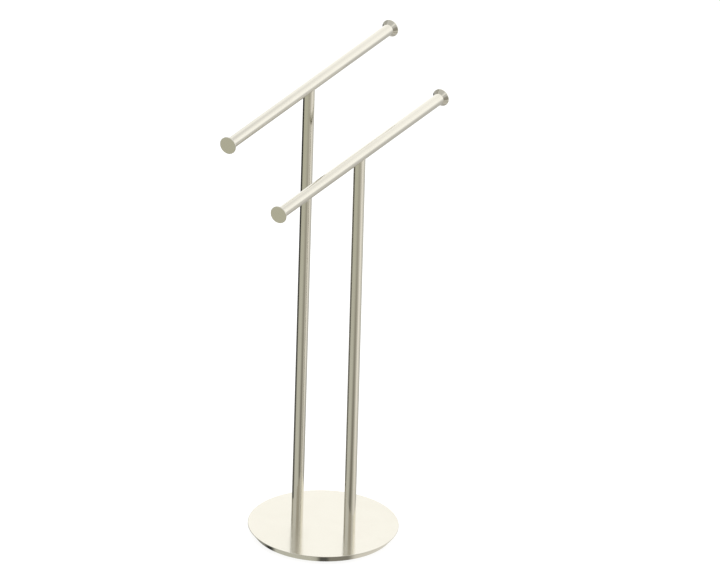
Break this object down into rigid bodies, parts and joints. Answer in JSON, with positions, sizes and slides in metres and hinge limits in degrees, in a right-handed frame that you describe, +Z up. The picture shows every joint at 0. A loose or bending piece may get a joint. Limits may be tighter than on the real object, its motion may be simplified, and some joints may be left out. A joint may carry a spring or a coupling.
{
  "type": "freestanding clothing rail stand",
  "caption": "Free-standing clothing rail stand: a heavy round base with a tall and a short T of polished tube, level parallel rails with flared end caps, each T turning on its foot.",
  "frame": {"origin": "on the floor under the middle of the round base", "axes": "+Z up; +X along the rails at rest; +Y towards the tall rear T, so the short T is at the front"},
  "size_m": [0.6, 0.284, 0.9335],
  "materials": {
    "polished_nickel": "mirror polished warm nickel plate",
    "turned_brass": "turned, unpolished",
    "zinc_steel": "bright zinc plate",
    "pad_rubber": "matt, fine grained"
  },
  "bodies": {
    "base": {"base_plate": "polished_nickel", "non_slip_pad": "pad_rubber"},
    "tall_t": {"rear_post": "polished_nickel", "rear_foot_plug": "turned_brass", "rear_foot_bolt": "zinc_steel", "rear_flat_washer": "zinc_steel", "rear_spring_washer": "zinc_steel", "rear_saddle_plug": "turned_brass", "rear_saddle_bolt": "zinc_steel", "rear_saddle_washer": "zinc_steel", "rear_rail": "polished_nickel", "rear_rail_core": "turned_brass", "rear_left_cap": "polished_nickel", "rear_right_cap": "polished_nickel"},
    "short_t": {"front_post": "polished_nickel", "front_foot_plug": "turned_brass", "front_foot_bolt": "zinc_steel", "front_flat_washer": "zinc_steel", "front_spring_washer": "zinc_steel", "front_saddle_plug": "turned_brass", "front_saddle_bolt": "zinc_steel", "front_saddle_washer": "zinc_steel", "front_rail": "polished_nickel", "front_rail_core": "turned_brass", "front_left_cap": "polished_nickel", "front_right_cap": "polished_nickel"}
  },
  "joints": [
    {"name": "tall_t_swivel", "type": "hinge", "parent": "base", "child": "tall_t", "pos_m": [0, 0.057, 0.0165], "axis": [0, 0, 1], "continuous": true},
    {"name": "short_t_swivel", "type": "hinge", "parent": "base", "child": "short_t", "pos_m": [0, -0.057, 0.0165], "axis": [0, 0, 1], "range_deg": [-78, 78]}
  ]
}
